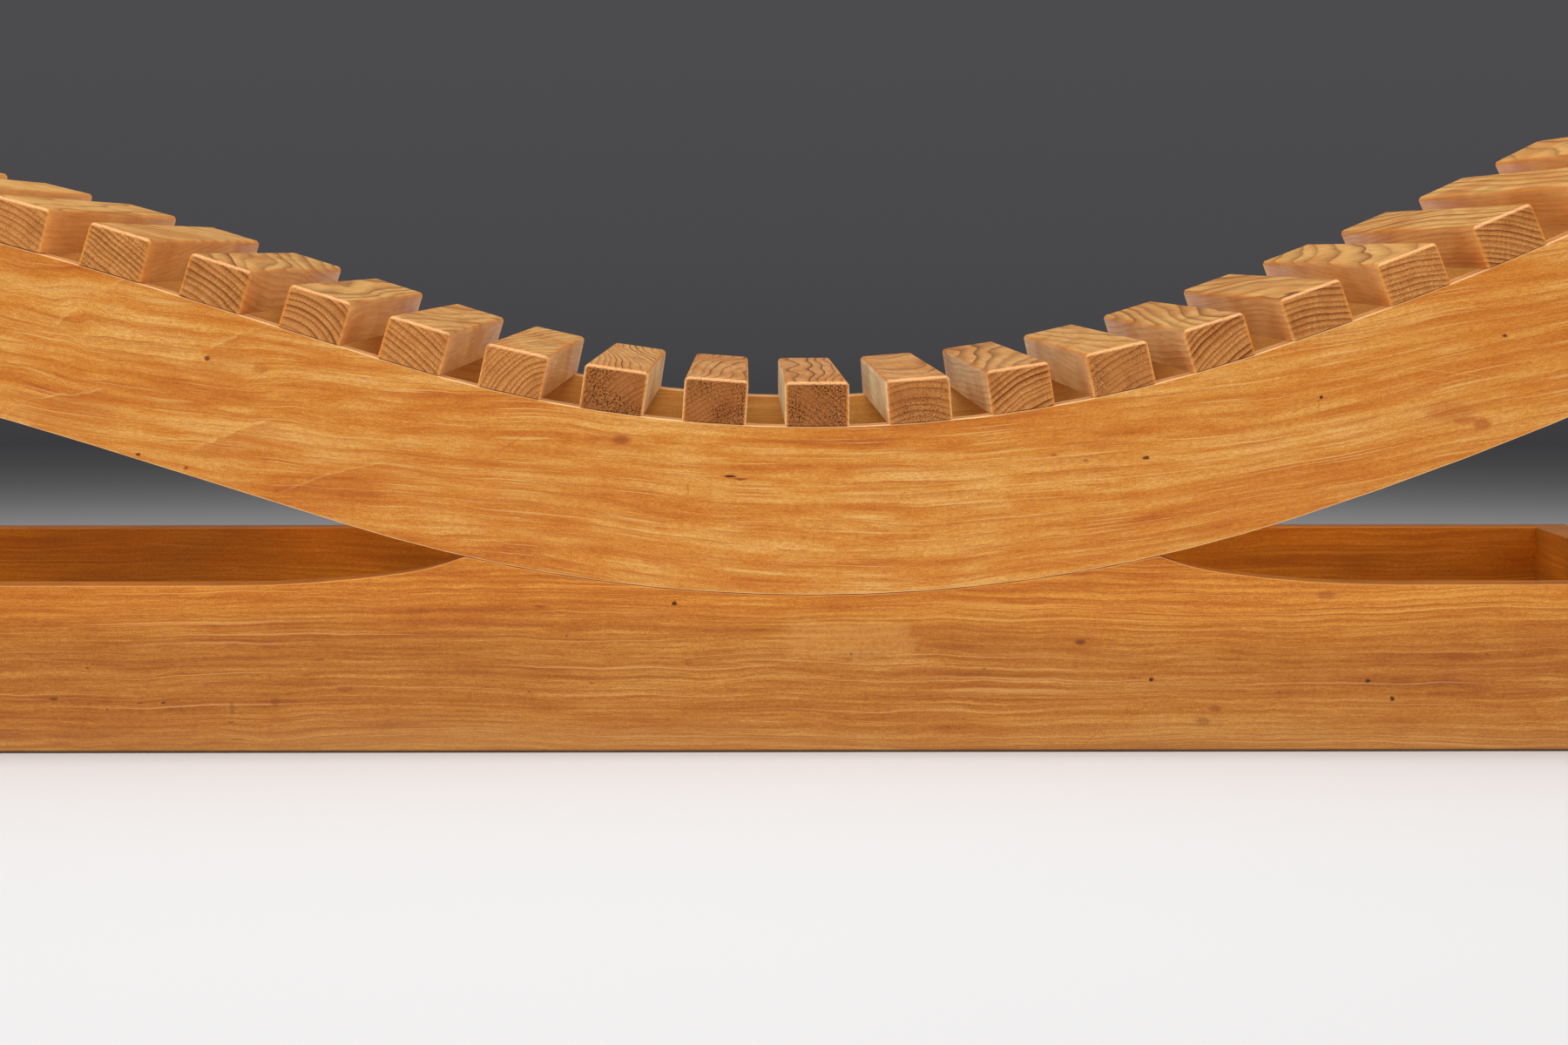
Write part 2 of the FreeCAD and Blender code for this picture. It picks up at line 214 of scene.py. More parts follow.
BASE_LOOK = {
    "palette": (
        srgb(158, 84, 17), srgb(180, 105, 27), srgb(190, 118, 38), srgb(203, 136, 54), srgb(214, 153, 72)),
    "broad": (1.8, 12.0, 26.0),
    "streak": (6.0, 50.0, 210.0),
    "short": (34.0, 90.0, 380.0),
    "dark_streaks": (2.6, 40.0, 210.0),
    "lines": (3.5, 120.0, 640.0),
    "ring_spacing": 0.0045,
    "rings": 0.7,
    "grit": 1.5,
    "shorts": 0.34,
    "clouds": 0.36,
    "upward": 0.25,
    "below": 0.0,
    "darkness": 0.34,
    "contrast": 0.85,
    "hairline": srgb(226, 168, 98),
    # This colour paints the sheen on upward faces
    "worn_and_sheen": srgb(236, 190, 126),
    "rubbed": srgb(208, 142, 70),
    "knot": DENT_BROWN,
    "marks": BASE_MARKS,
}

# Scratches: each set has its angle to the horizontal in radians, rarity, tint and strength
SEAT_SCRATCH_LENGTH = 0.07
SEAT_SCRATCHES = ((-0.12, 0.8, SEAT_LOOK["hairline"], 0.3), (0.6, 0.82, KNOT_RED, 0.5))
BASE_SCRATCH_LENGTH = 0.06
BASE_SCRATCHES = ((-0.05, 0.79, BASE_LOOK["hairline"], 0.4), (0.7, 0.82, KNOT_RED, 0.5))
SCRATCH_THICKNESS = 0.0007

# Upward faces of the boards carry a painted sheen that grows to full between these distances from the board's
# middle
SHEEN_START = 0.006
SHEEN_FULL = 0.014

# How far the grain of a seat rail follows the rail's own sweep, and that sweep as a hyperbola
GRAIN_FOLLOWS = 0.68
SWEEP_HEIGHT = 0.137
SWEEP_HALF_WIDTH = 0.38

# How far the grain of the seat rails strays, with more curl from the saddle towards the foot
SEAT_DRIFT = 0.040
SEAT_CURL = 0.006
FOOT_CURL = 0.016
FOOT_SIDE_START = -0.15
FOOT_SIDE_FULL = -0.42

# From the saddle towards the head the dark streaks of the seat rails get darker and the others get calmer
DARKER_START = 0.0
DARKER_FULL = 0.3
CALMER_START = 0.1
CALMER_FULL = 0.35

# Growth rings cut almost flat on the foot side of the seat rails
RIDGE_SLOPE = 0.55
RIDGE_SPACING = 0.06

# Inside of the seat rails: how far behind the outer face it starts and is full, and its paler tone, which is
# painted light
SEAT_INSIDE_START = 0.02
SEAT_INSIDE_FULL = 0.03
SEAT_INSIDE_PAINTED_LIGHT = srgb(252, 190, 100)

# Base: how far its grain strays, and the heights of the warm upper zone and of the scuffed lower one
BASE_DRIFT = 0.026
BASE_RIPPLE = 0.007
ZONE_DRIFT = 0.05
WARM_START = 0.085
WARM_FULL = 0.15
WARM_TINT = (1.2, 1.08, 0.7, 1.0)
SCUFF_START = 0.055
SCUFF_FULL = 0.02
SCUFF = srgb(204, 148, 88)

# Inside of the base: how far behind the outer faces it starts and is full, and its tints, which paint it
# redder as shade
BASE_INSIDE_START = 0.01
BASE_INSIDE_FULL = 0.02
RAIL_INSIDE_SHADE_TINT = (1.27, 1.18, 0.42, 1.0)
END_INSIDE_SHADE_TINT = (1.18, 1.2, 0.78, 1.0)

# Rubbed patch on the near base rail, and how deep into the rail its colour goes
RUBBED_MIDDLE = (0.040, -OUTER_FACE, 0.0865)
RUBBED_HALF_SIZES = (0.044, 1.0, 0.0135)
RUBBED_FRAYING = (0.03, 0.0, 0.012)
RUBBED_FULL_DEPTH = 0.006
RUBBED_DEPTH = 0.012
RUBBED = srgb(226, 164, 82)


class Tree:
    """Short forms for adding and linking shader nodes."""

    def __init__(self, tree):
        self.tree = tree

    def add(self, kind, **settings):
        node = self.tree.nodes.new(kind)
        for name, value in settings.items():
            setattr(node, name, value)
        return node

    def put(self, value, socket):
        if isinstance(value, bpy.types.NodeSocket):
            self.tree.links.new(value, socket)
        else:
            socket.default_value = value

    def math(self, operation, first, second=0.0, third=0.0, clamp=False):
        node = self.add("ShaderNodeMath", operation=operation, use_clamp=clamp)
        for value, socket in zip((first, second, third), node.inputs):
            self.put(value, socket)
        return node.outputs[0]

    def vector(self, operation, first, second=(0.0, 0.0, 0.0), third=(0.0, 0.0, 0.0)):
        node = self.add("ShaderNodeVectorMath", operation=operation)
        for value, socket in zip((first, second, third), node.inputs):
            self.put(value, socket)
        return node.outputs["Value" if operation in ("LENGTH", "DOT_PRODUCT") else "Vector"]

    def split(self, vector):
        node = self.add("ShaderNodeSeparateXYZ")
        self.put(vector, node.inputs[0])
        return node.outputs

    def join(self, x, y, z):
        node = self.add("ShaderNodeCombineXYZ")
        for value, socket in zip((x, y, z), node.inputs):
            self.put(value, socket)
        return node.outputs[0]

    def noise(self, vector, stretch, detail=2.0, roughness=0.5, distortion=0.0, colour=False):
        """Soft noise from 0 to 1, with this many features per metre along each axis."""
        node = self.add("ShaderNodeTexNoise")
        self.put(self.vector("MULTIPLY", vector, stretch), node.inputs["Vector"])
        node.inputs["Scale"].default_value = 1.0
        node.inputs["Detail"].default_value = detail
        node.inputs["Roughness"].default_value = roughness
        node.inputs["Distortion"].default_value = distortion
        return node.outputs["Color" if colour else "Fac"]

    def steps(self, value, low, high, to_low=0.0, to_high=1.0, smooth=True):
        """One level up to a limit and another past a second limit, with a slope between them."""
        node = self.add("ShaderNodeMapRange", interpolation_type="SMOOTHSTEP" if smooth else "LINEAR")
        for item, socket in zip((value, low, high, to_low, to_high), node.inputs):
            self.put(item, socket)
        return node.outputs[0]

    def ramp(self, value, stops):
        """Colours or grey levels along a value from 0 to 1."""
        node = self.add("ShaderNodeValToRGB")
        self.put(value, node.inputs[0])
        elements = node.color_ramp.elements
        while len(elements) < len(stops):
            elements.new(0.5)
        for element, (place, colour) in zip(elements, stops):
            element.position = place
            element.color = colour if isinstance(colour, tuple) else (colour, colour, colour, 1.0)
        return node.outputs[0]

    def mix(self, share, first, second):
        """The first colour, with this share of the second over it."""
        node = self.add("ShaderNodeMix", data_type="RGBA")
        self.put(share, node.inputs[0])
        self.put(first, node.inputs[6])
        self.put(second, node.inputs[7])
        return node.outputs[2]

    def centred(self, value):
        """A 0 to 1 noise as a swing about zero."""
        return self.math("SUBTRACT", value, 0.5)

    def shift(self, noise, reach):
        """A 0 to 1 colour noise as an offset of up to half this reach."""
        return self.vector("MULTIPLY", self.vector("SUBTRACT", noise, (0.5, 0.5, 0.5)), reach)

    def scaled(self, colour, level):
        """A colour times a grey level."""
        return self.vector("MULTIPLY", colour, self.join(level, level, level))

    def tinted(self, colour, share, tint):
        """A colour times a tint, as far as the share goes."""
        return self.vector("MULTIPLY", colour, self.mix(share, NO_TINT, tint))

    def stained(self, colour, pattern, amount):
        """A colour that a 0 to 1 pattern makes darker and redder or paler, as stain does in wood."""
        swings = [2 * amount * share for share in STAIN_SHARES]
        levels = [self.math("MULTIPLY_ADD", pattern, swing, 1 - swing / 2) for swing in swings]
        return self.vector("MULTIPLY", colour, self.join(*levels))


def new_material(name):
    material = bpy.data.materials.new(name)
    material.use_nodes = True
    material.node_tree.nodes.clear()
    return material, Tree(material.node_tree)


def lacquered(tree, colour, roughness, height, relief, gloss=BOARD_GLOSS, coat=BOARD_COAT):
    """Satin lacquer over wood of this colour: gloss of the wood itself and of the coat over it."""
    bump = tree.add("ShaderNodeBump")
    bump.inputs["Strength"].default_value = 1.0
    bump.inputs["Distance"].default_value = relief
    tree.put(height, bump.inputs["Height"])
    shader = tree.add("ShaderNodeBsdfPrincipled")
    tree.put(colour, shader.inputs["Base Color"])
    tree.put(roughness, shader.inputs["Roughness"])
    tree.put(bump.outputs[0], shader.inputs["Normal"])
    shader.inputs["Specular IOR Level"].default_value = gloss
    shader.inputs["Coat Weight"].default_value = coat
    shader.inputs["Coat Roughness"].default_value = COAT_ROUGHNESS
    output = tree.add("ShaderNodeOutputMaterial")
    tree.put(shader.outputs[0], output.inputs[0])


def edge_mask(tree, normal):
    """0 on flat faces, 1 on the rounded arrises between them, for a normal in the piece's own axes."""
    squares = tree.vector("MULTIPLY", normal, normal)
    flatness = tree.vector("DOT_PRODUCT", squares, squares)
    return tree.math("MULTIPLY_ADD", flatness, -2.0, 2.0, clamp=True)


def slat_rings(tree, grain, spacing, lines):
    """Late wood of the growth rings round the grain's Y axis, and the rays that cross them, both 0 to 1."""
    sway = tree.noise(grain, (22.0, 3.0, 22.0), detail=2.0, colour=True)
    x, y, z = tree.split(tree.vector("ADD", grain, tree.shift(sway, RING_SWAY)))[0:3]
    wander = tree.noise(grain, (4.0, 3.0, 4.0), detail=1.0)
    radius = tree.math("MULTIPLY_ADD", wander, RING_WANDER, tree.vector("LENGTH", tree.join(x, 0.0, z)))
    count = tree.math("DIVIDE", radius, spacing)
    uneven = tree.noise(tree.join(count, 0.0, 0.0), (0.45, 1.0, 1.0), detail=1.0)
    count = tree.math("MULTIPLY_ADD", uneven, 1.6, count)
    ring = tree.math("FRACT", count)
    late = tree.ramp(ring, [(0.0, 0.25), (0.08, 0.0), (0.4, 0.05), (0.72, 0.5), (0.92, 1.0), (1.0, 0.25)])
    late = tree.math("POWER", late, tree.steps(lines, 0.7, 1.0, 1.4, 0.6, smooth=False))
    year = tree.math("FLOOR", count)
    vigour = tree.noise(tree.join(year, 0.0, 0.0), (7.31, 1.0, 1.0), detail=0.0)
    late = tree.math("MULTIPLY", late, tree.steps(vigour, 0.3, 0.7, 0.5, 1.0))
    angle = tree.math("ARCTAN2", z, x)
    rays = tree.noise(tree.join(angle, radius, y), (60.0, 60.0, 40.0), detail=3.0, roughness=0.6)
    return late, rays


def slat_textures(tree, grain):
    """Fine structure and stains of a slat, stretched along its grain."""
    return {
        "pores": tree.noise(grain, (820.0, 40.0, 820.0), detail=2.0, roughness=0.6),
        "grit": tree.noise(grain, (1500.0, 300.0, 1500.0), detail=2.0, roughness=0.7),
        "fibres": tree.noise(grain, (420.0, 9.0, 420.0), detail=4.0, roughness=0.66),
        "cloud": tree.noise(grain, (22.0, 6.0, 22.0), detail=2.0),
        "smoke": tree.noise(grain, (46.0, 8.0, 46.0), detail=2.0),
        "coarse": tree.noise(grain, (34.0, 5.0, 34.0), detail=1.0),
    }


def slat_long_faces(tree, late, lines, pale, flank, texture):
    """Dark lines on honey, the sides quieter than the top; slats with faint ends show their lines on top."""
    # The sides are painted paler towards the trough and carry less smoke, as painted light
    colour = tree.mix(flank, tree.mix(pale, *SLAT_TOPS), tree.mix(pale, *SLAT_SIDES_PAINTED_LIGHT))
    colour = tree.mix(tree.steps(texture["cloud"], 0.42, 0.64, 0.0, 0.5), colour, SLAT_CLOUD)
    strength = tree.math("MULTIPLY", lines, tree.steps(lines, 0.6, 0.7, 2.0, 1.05))
    quiet = tree.math("MULTIPLY", flank, tree.steps(lines, 0.9, 1.0, 0.82, 0.55))
    shown = tree.math("MULTIPLY", strength, tree.math("SUBTRACT", 1.0, quiet))
    thin = tree.math("POWER", late, 1.3)
    colour = tree.mix(tree.math("MULTIPLY", thin, shown, clamp=True), colour, tree.mix(pale, *SLAT_LINES))
    smoky = tree.math("MULTIPLY_ADD", flank, -0.3, 0.4)
    colour = tree.mix(tree.steps(texture["smoke"], 0.5, 0.72, 0.0, smoky), colour, SLAT_SMOKE)
    colour = tree.stained(colour, texture["fibres"], 0.5)
    return tree.stained(colour, texture["grit"], 0.5)


def slat_end_grain(tree, late, lines, rays, texture):
    """Thirsty, browner end grain with rays, open pores and stained patches."""
    early = tree.mix(tree.steps(lines, 0.8, 0.6), *END_EARLY)
    colour = tree.mix(tree.math("MULTIPLY", late, lines), early, END_LATE)
    colour = tree.mix(tree.steps(texture["smoke"], 0.5, 0.7, 0.0, 0.35), colour, END_SMOKE)
    colour = tree.stained(colour, rays, 0.45)
    colour = tree.stained(colour, texture["grit"], 0.75)
    open_pores = tree.steps(texture["coarse"], 0.35, 0.6, 0.9, tree.steps(lines, 0.6, 0.8, 0.15, 0.8))
    return tree.scaled(colour, tree.steps(texture["pores"], 0.39, 0.53, open_pores, 1.1))


def slat_arrises(tree, colour, edge, facing, texture):
    """Arrises: amber along the slat, pale over the ends as rubbed wood and a painted highlight, and painted
    shade in the groove against the rail.
    """
    amber = tree.math("MULTIPLY", edge, tree.steps(texture["smoke"], 0.3, 0.65, 0.75, 0.3))
    colour = tree.mix(amber, colour, ARRIS_AMBER)
    # Arrises over the ends are paled, partly as wear and partly as a painted highlight
    over = tree.math("MULTIPLY", tree.math("ABSOLUTE", facing[1]), facing[2])
    pale = tree.steps(texture["pores"], 0.3, 0.6, 0.25, 0.7)
    colour = tree.mix(tree.steps(over, 0.12, 0.45, 0.0, pale), colour, ARRIS_RUBBED_AND_HIGHLIGHT)
    # Downward arrises at the ends get painted shade, as in a groove
    under = tree.math("MULTIPLY", over, -1.0)
    return tree.mix(tree.steps(under, 0.1, 0.4, 0.0, 0.8), colour, GROOVE_PAINTED_SHADE)


def slat_figure():
    """Node group: pine with its growth rings round the grain's own Y axis."""
    group = bpy.data.node_groups.new("slat_figure", "ShaderNodeTree")
    for name in ("Grain", "Normal"):
        group.interface.new_socket(name, in_out="INPUT", socket_type="NodeSocketVector")
    for name in ("Spacing", "Lines", "Seed", "Pale"):
        group.interface.new_socket(name, in_out="INPUT", socket_type="NodeSocketFloat")
    group.interface.new_socket("Color", in_out="OUTPUT", socket_type="NodeSocketColor")
    for name in ("Roughness", "Height"):
        group.interface.new_socket(name, in_out="OUTPUT", socket_type="NodeSocketFloat")
    tree = Tree(group)
    given = tree.add("NodeGroupInput").outputs
    lines = given["Lines"]
    grain = tree.vector("ADD", given["Grain"], tree.join(0.0, given["Seed"], 0.0))
    late, rays = slat_rings(tree, grain, given["Spacing"], lines)
    texture = slat_textures(tree, grain)
    facing = tree.split(given["Normal"])
    end = tree.steps(tree.math("ABSOLUTE", facing[1]), 0.75, 0.97)
    flank = tree.steps(tree.math("ABSOLUTE", facing[0]), 0.6, 0.95)
    edge = edge_mask(tree, given["Normal"])

    long_colour = slat_long_faces(tree, late, lines, given["Pale"], flank, texture)
    end_colour = slat_end_grain(tree, late, lines, rays, texture)
    colour = slat_arrises(tree, tree.mix(end, long_colour, end_colour), edge, facing, texture)
    rough = tree.math("MULTIPLY_ADD", texture["smoke"], 0.16, 0.24)
    rough = tree.math("MULTIPLY_ADD", edge, 0.12, rough)
    rough = tree.math("MULTIPLY_ADD", end, 0.12, rough)
    height = tree.math("MULTIPLY_ADD", late, 0.35, texture["fibres"])
    height = tree.math("MULTIPLY_ADD", tree.math("MULTIPLY", texture["pores"], end), 1.2, height)
    output = tree.add("NodeGroupOutput")
    tree.put(colour, output.inputs["Color"])
    tree.put(rough, output.inputs["Roughness"])
    tree.put(height, output.inputs["Height"])
    return group


def slat_slope(index):
    """Slope of the row of slats at one slat, from its neighbours."""
    before = SLAT_CENTRES[max(index - 1, 0)]
    after = SLAT_CENTRES[min(index + 1, len(SLAT_CENTRES) - 1)]
    return math.atan2(after.z - before.z, after.x - before.x)


def slat_material(index, group):
    """Pine for one slat, with its own rings."""
    direction, distance, spacing, lines = SLAT_HEARTS[index]
    slope = slat_slope(index)
    tilt_x = HEART_TILT * math.sin(TILT_STEP_X * index)
    tilt_z = HEART_TILT * math.cos(TILT_STEP_Z * index)
    out = math.radians(direction)
    heart = SLAT_CENTRES[index] + Vector((math.cos(out), 0, math.sin(out))) * distance / MM_PER_M
    material, tree = new_material(f"slat_pine_{index + 1:02d}")
    where = tree.add("ShaderNodeTexCoord").outputs
    grain = tree.add("ShaderNodeMapping", vector_type="TEXTURE")
    grain.inputs["Location"].default_value = heart
    grain.inputs["Rotation"].default_value = Euler((tilt_x, -slope, tilt_z))
    tree.put(where["Object"], grain.inputs["Vector"])
    facing = tree.add("ShaderNodeMapping", vector_type="TEXTURE")
    facing.inputs["Rotation"].default_value = (0.0, -slope, 0.0)
    tree.put(where["Normal"], facing.inputs["Vector"])
    figure = tree.add("ShaderNodeGroup", node_tree=group)
    tree.put(grain.outputs[0], figure.inputs["Grain"])
    tree.put(facing.outputs[0], figure.inputs["Normal"])
    figure.inputs["Spacing"].default_value = spacing / MM_PER_M
    figure.inputs["Lines"].default_value = lines
    figure.inputs["Seed"].default_value = SEED_STEP * index
    # Paleness falls off away from the trough: painted light, mostly on the slats' sides
    figure.inputs["Pale"].default_value = 1 / (1 + ((index - TROUGH_SLAT) / PALE_SLATS) ** 2)
    colour, rough, height = (figure.outputs[name] for name in ("Color", "Roughness", "Height"))
    lacquered(tree, colour, rough, height, SLAT_RELIEF, SLAT_GLOSS, SLAT_COAT)
    return material


def board_streaks(tree, flow, short, cloud, fibres, look):
    """Streaks, faint rings, fibres and hairlines of a board along its flow of grain."""
    deep, dark, middle, light, pale = look["palette"]
    broad = tree.noise(flow, look["broad"], detail=3.0, roughness=0.55)
    streak = tree.noise(flow, look["streak"], detail=3.0, roughness=0.55)
    tone = tree.math("MULTIPLY_ADD", broad, 0.42, tree.math("MULTIPLY", streak, 0.58))
    tone = tree.math("MULTIPLY_ADD", tree.centred(short), look["shorts"], tone)
    tone = tree.math("MULTIPLY_ADD", tree.centred(cloud), look["clouds"], tone)
    tone = tree.math("MULTIPLY_ADD", tree.centred(tone), look["contrast"], 0.5)
    colour = tree.ramp(tone, [(0.34, deep), (0.43, dark), (0.5, middle), (0.58, light), (0.7, pale)])

    count = tree.math("DIVIDE", tree.split(flow)[2], look["ring_spacing"])
    ring = tree.math("FRACT", tree.math("MULTIPLY_ADD", broad, 2.5, count))
    shown = tree.steps(cloud, 0.42, 0.6, 0.1, look["rings"])
    colour = tree.mix(tree.math("MULTIPLY", tree.math("POWER", ring, 3.0), shown), colour, deep)
    dark_streaks = tree.noise(flow, look["dark_streaks"], detail=3.0, roughness=0.6)
    colour = tree.mix(tree.steps(dark_streaks, 0.54, 0.72, 0.0, look["darkness"]), colour, deep)

    grit = tree.noise(flow, (1200.0, 1400.0, 1900.0), detail=2.0, roughness=0.7)
    flecks = tree.noise(flow, (60.0, 300.0, 700.0), detail=1.0)
    colour = tree.stained(colour, fibres, 0.6)
    colour = tree.stained(colour, grit, look["grit"])
    colour = tree.mix(tree.steps(flecks, 0.64, 0.76, 0.0, 0.5), colour, deep)
    lines = tree.noise(flow, look["lines"], detail=0.0)
    colour = tree.mix(tree.steps(lines, 0.37, 0.24, 0.0, 0.45), colour, deep)
    return tree.mix(tree.steps(lines, 0.64, 0.78, 0.0, 0.5), colour, look["hairline"])


def board_marks(tree, colour, place, look):
    """Knots and dents on the near face, as soft ovals with ragged rims."""
    ragged = tree.noise(place, (260.0, 260.0, 420.0), detail=2.0, colour=True)
    place = tree.vector("ADD", place, tree.shift(ragged, MARK_RAGGEDNESS))
    marked = 0.0
    for along, up, half_long, half_high, darkness in look["marks"]:
        middle = (along / MM_PER_M, -OUTER_FACE, up / MM_PER_M)
        half_sizes = (half_long / MM_PER_M, MARK_DEPTH, half_high / MM_PER_M)
        offset = tree.vector("DIVIDE", tree.vector("SUBTRACT", place, middle), half_sizes)
        mark = tree.steps(tree.vector("LENGTH", offset), 0.4, 1.0, darkness, 0.0)
        marked = tree.math("MAXIMUM", marked, mark)
    mark_colour = tree.mix(tree.steps(marked, 0.45, 0.7), look["knot"], KNOT_BROWN)
    return tree.mix(tree.math("MULTIPLY", marked, 1.3, clamp=True), colour, mark_colour)


def board_wear_and_sheen(tree, colour, where, short, cloud, look, axis):
    """Rubbed arrises, downward arrises paled partly as wear and partly as a painted highlight, a painted
    sheen on upward faces and dark cut ends, for grain along the X (0) or Y (1) axis.
    """
    facing = tree.split(where["Normal"])
    across = tree.math("POWER", facing[1 - axis], 2.0)
    arris = tree.math("MULTIPLY", tree.math("MULTIPLY", across, tree.math("SUBTRACT", 1.0, across)), 4.0)
    rubbed = tree.math("MULTIPLY", arris, tree.steps(cloud, 0.35, 0.6, 0.3, 0.75))
    colour = tree.mix(rubbed, colour, look["rubbed"])
    # Downward arrises are paled, partly as wear and partly as a painted highlight
    below = tree.math("MULTIPLY", arris, tree.steps(facing[2], -0.15, -0.45, 0.0, look["below"]))
    broken = tree.math("MULTIPLY", below, tree.steps(short, 0.3, 0.55, 0.55, 1.0))
    colour = tree.mix(broken, colour, look["worn_and_sheen"])
    # Upward faces carry a painted sheen, fuller towards the board's edges
    from_chair_middle = tree.math("ABSOLUTE", tree.split(where["Object"])[1])
    from_board_middle = tree.math("ABSOLUTE", tree.math("SUBTRACT", from_chair_middle, RAIL_MIDDLE))
    sheen = tree.steps(from_board_middle, SHEEN_START, SHEEN_FULL, 0.3 * look["upward"], look["upward"])
    colour = tree.mix(tree.steps(facing[2], 0.5, 0.85, 0.0, sheen), colour, look["worn_and_sheen"])
    cut = tree.steps(tree.math("ABSOLUTE", facing[axis]), 0.8, 0.97)
    return tree.tinted(colour, cut, CUT_END_TINT)


def board_figure(tree, where, flow, look, axis=0):
    """Streaked pine board: colour, roughness and relief along a flow of grain."""
    short = tree.noise(flow, look["short"], detail=3.0, roughness=0.6)
    fibres = tree.noise(flow, (240.0, 700.0, 900.0), detail=2.0, roughness=0.65)
    cloud = tree.noise(where["Object"], (24.0, 24.0, 36.0), detail=5.0, roughness=0.62)
    colour = board_streaks(tree, flow, short, cloud, fibres, look)
    colour = board_marks(tree, colour, where["Object"], look)
    colour = board_wear_and_sheen(tree, colour, where, short, cloud, look, axis)
    rough = tree.math("MULTIPLY_ADD", short, 0.16, tree.math("MULTIPLY_ADD", cloud, 0.16, 0.18))
    height = tree.math("MULTIPLY_ADD", fibres, 0.6, short)
    return colour, rough, height


def scratched(tree, colour, place, length, scratches):
    """Sets of thin straight scratches on the side faces."""
    for angle, rarity, tint, strength in scratches:
        turned = tree.add("ShaderNodeVectorRotate", rotation_type="Y_AXIS")
        tree.put(place, turned.inputs["Vector"])
        turned.inputs["Angle"].default_value = angle
        stretch = (0.6 / length, 20.0, 0.6 / SCRATCH_THICKNESS)
        scratch = tree.steps(tree.noise(turned.outputs[0], stretch, detail=0.0), rarity, rarity + 0.06)
        colour = tree.mix(tree.math("MULTIPLY", scratch, strength), colour, tint)
    return colour


def ridged(tree, colour, place, along, up, foot_side):
    """Growth rings cut almost flat on the foot side: each darkens up to a ragged, broken pale rim."""
    jagged = tree.noise(place, (100.0, 60.0, 160.0), detail=2.0)
    bend = tree.noise(place, (5.0, 5.0, 6.0), detail=1.0)
    rise = tree.math("MULTIPLY", up, math.cos(RIDGE_SLOPE))
    climb = tree.math("MULTIPLY_ADD", along, -math.sin(RIDGE_SLOPE), rise)
    count = tree.math("MULTIPLY_ADD", bend, 2.4, tree.math("DIVIDE", climb, RIDGE_SPACING))
    ring = tree.math("FRACT", tree.math("MULTIPLY_ADD", jagged, 0.10, count))
    patchy = tree.math("MULTIPLY", foot_side, tree.steps(tree.noise(place, (15.0, 9.0, 22.0)), 0.46, 0.62))
    shade = tree.math("MULTIPLY", tree.math("POWER", ring, 2.0), tree.math("MULTIPLY", patchy, 0.45))
    colour = tree.mix(shade, colour, SEAT_LOOK["palette"][0])
    rim = tree.math("MULTIPLY", tree.steps(ring, 0.05, 0.0), tree.math("MULTIPLY", patchy, 0.35))
    return tree.mix(rim, colour, SEAT_LOOK["hairline"])


def seat_rail_material():
    """Broad flowing streaks of honey and orange along the sweep of the seat rails."""
    material, tree = new_material("seat_rail_pine")
    where = tree.add("ShaderNodeTexCoord").outputs
    x, y, z = tree.split(where["Object"])[0:3]
    along = tree.math("SUBTRACT", x, SADDLE_X)
    share = tree.math("DIVIDE", along, SWEEP_HALF_WIDTH)
    sweep = tree.math("SQRT", tree.math("MULTIPLY_ADD", share, share, 1.0))
    depth = tree.math("MULTIPLY_ADD", sweep, -GRAIN_FOLLOWS * SWEEP_HEIGHT, z)
    place = tree.join(along, y, depth)

    foot_side = tree.steps(along, FOOT_SIDE_START, FOOT_SIDE_FULL)
    drift = tree.noise(place, (2.6, 6.0, 8.0), detail=2.0)
    curl = tree.noise(place, (9.0, 9.0, 16.0), detail=2.0, distortion=0.4)
    depth = tree.math("MULTIPLY_ADD", drift, SEAT_DRIFT, depth)
    swirl = tree.math("MULTIPLY_ADD", foot_side, FOOT_CURL, SEAT_CURL)
    depth = tree.math("MULTIPLY_ADD", curl, swirl, depth)
    flow = tree.join(along, y, depth)

    darkness = tree.steps(along, DARKER_START, DARKER_FULL, 0.2, 0.35)
    contrast = tree.steps(along, CALMER_START, CALMER_FULL, 1.0, 0.72)
    look = dict(SEAT_LOOK, darkness=darkness, contrast=contrast)
    colour, rough, height = board_figure(tree, where, flow, look)
    colour = ridged(tree, colour, place, along, z, foot_side)
    colour = scratched(tree, colour, where["Object"], SEAT_SCRATCH_LENGTH, SEAT_SCRATCHES)
    # The inner faces of the seat rails are painted paler, as painted light between the slats
    behind_face = tree.math("SUBTRACT", OUTER_FACE, tree.math("ABSOLUTE", y))
    inside = tree.steps(behind_face, SEAT_INSIDE_START, SEAT_INSIDE_FULL)
    colour = tree.mix(tree.math("MULTIPLY", inside, 0.5), colour, SEAT_INSIDE_PAINTED_LIGHT)
    lacquered(tree, colour, rough, height, BOARD_RELIEF)
    return material


def base_inside_shade(tree, colour, board, from_middle, half, tint):
    """Smoother wood on the faces that look into the base, tinted redder and in broad darker and paler
    blotches as painted shade.
    """
    behind_face = tree.math("SUBTRACT", half, from_middle)
    inside = tree.steps(behind_face, BASE_INSIDE_START, BASE_INSIDE_FULL)
    colour = tree.mix(tree.math("MULTIPLY", inside, 0.45), colour, BASE_LOOK["palette"][2])
    shade_patches = tree.math("SUBTRACT", 0.5, tree.noise(board, (5.0, 5.0, 14.0), detail=2.0))
    level = tree.math("MULTIPLY_ADD", tree.math("MULTIPLY", shade_patches, inside), 1.8, 1.0)
    return tree.tinted(tree.scaled(colour, level), inside, tint)


